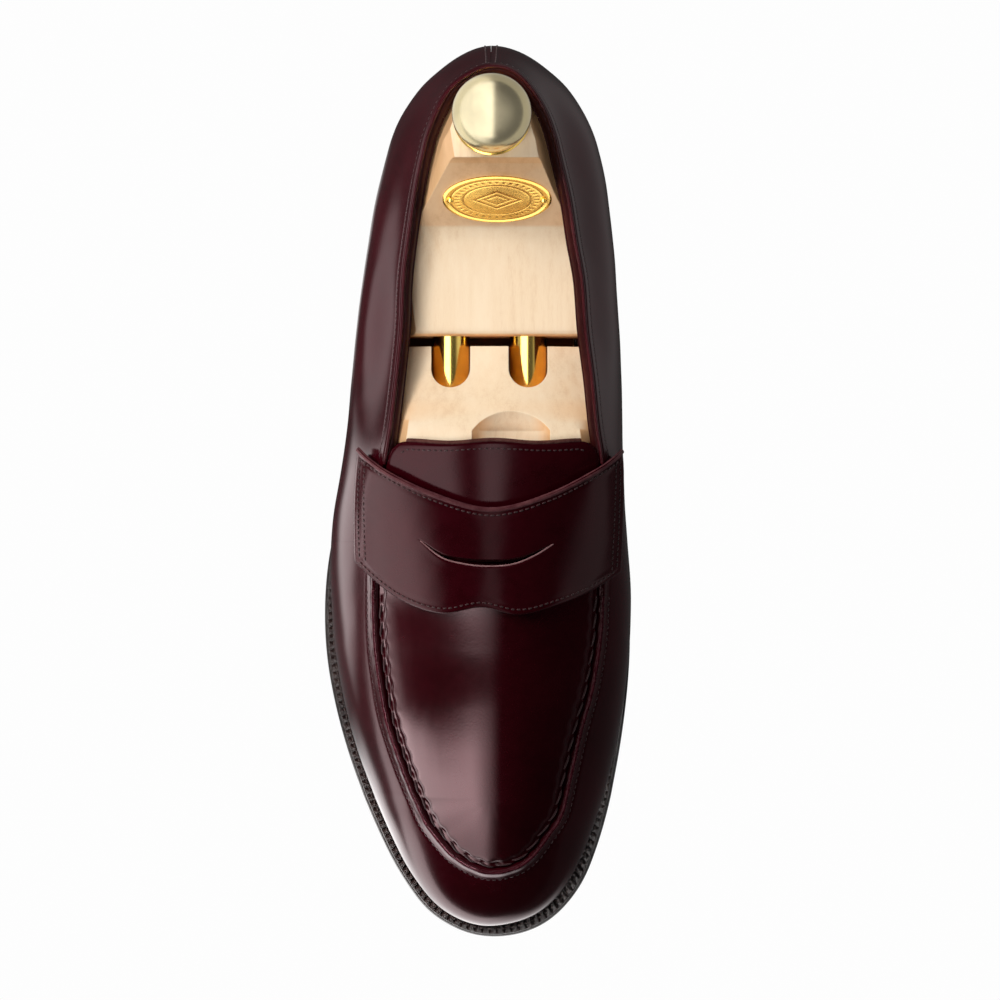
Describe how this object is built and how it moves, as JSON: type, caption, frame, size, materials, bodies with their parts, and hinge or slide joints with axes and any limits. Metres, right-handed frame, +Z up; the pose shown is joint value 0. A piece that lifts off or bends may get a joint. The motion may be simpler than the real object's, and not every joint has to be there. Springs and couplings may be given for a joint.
{
  "type": "penny loafer with shoe tree",
  "caption": "Right-foot slip-on loafer with apron, slotted saddle strap, welted leather sole and stacked heel, holding a sprung wooden shoe tree with brass guides and knob.",
  "frame": {"origin": "centre of the bounding box in plan, on the ground under the tread and heel", "axes": "+Y towards the heel along the shoe, +X towards the medial side, +Z up"},
  "size_m": [0.106, 0.3032, 0.1108],
  "materials": {
    "upper_leather": "polished",
    "lining_leather": "matte",
    "sole_leather": "waxed",
    "welt_leather": "waxed",
    "insole_leather": "matte",
    "cork": "rough",
    "steel": "satin",
    "heel_rubber": "matte",
    "stiffener": "matte",
    "upper_thread": "satin",
    "welt_thread": "matte",
    "beech": "smooth",
    "brass": "polished",
    "knob_brass": "polished"
  },
  "bodies": {
    "shoe": {"outsole": "sole_leather", "welt": "welt_leather", "heel_seat_rand": "welt_leather", "cork_filler": "cork", "shank": "steel", "insole": "insole_leather", "sock_lining": "lining_leather", "heel_lift_1": "sole_leather", "heel_lift_2": "sole_leather", "heel_lift_3": "sole_leather", "heel_top_piece": "sole_leather", "heel_rubber_tip": "heel_rubber", "vamp": "upper_leather", "apron": "upper_leather", "tongue": "upper_leather", "quarter_lateral": "upper_leather", "quarter_medial": "upper_leather", "saddle_strap": "upper_leather", "strap_backer": "upper_leather", "apron_piping": "upper_leather", "topline_binding": "upper_leather", "toe_puff": "stiffener", "heel_counter": "stiffener", "vamp_lining": "lining_leather", "apron_lining": "lining_leather", "tongue_lining": "lining_leather", "quarter_lining_lateral": "lining_leather", "quarter_lining_medial": "lining_leather", "heel_grip": "lining_leather", "apron_thread": "upper_thread", "strap_thread": "upper_thread", "topline_thread": "upper_thread", "welt_thread": "welt_thread", "tree_forepart": "beech", "guide_sleeve_lateral": "brass", "guide_sleeve_medial": "brass", "spring_lateral": "steel", "spring_medial": "steel"},
    "heel_block": {"tree_heel_block": "beech", "guide_tube_lateral": "brass", "guide_tube_medial": "brass", "knob": "knob_brass", "knob_collar": "brass", "knob_screw": "steel", "name_plate": "brass", "plate_pin_lateral": "brass", "plate_pin_medial": "brass"}
  },
  "joints": [
    {"name": "heel_block_slide", "type": "slide", "parent": "shoe", "child": "heel_block", "axis": [0, -1, 0], "range_m": [0, 0.0031], "stiffness_N_per_m": 3000, "springref_m": -0.004, "deforming": ["spring_lateral", "spring_medial"]}
  ]
}
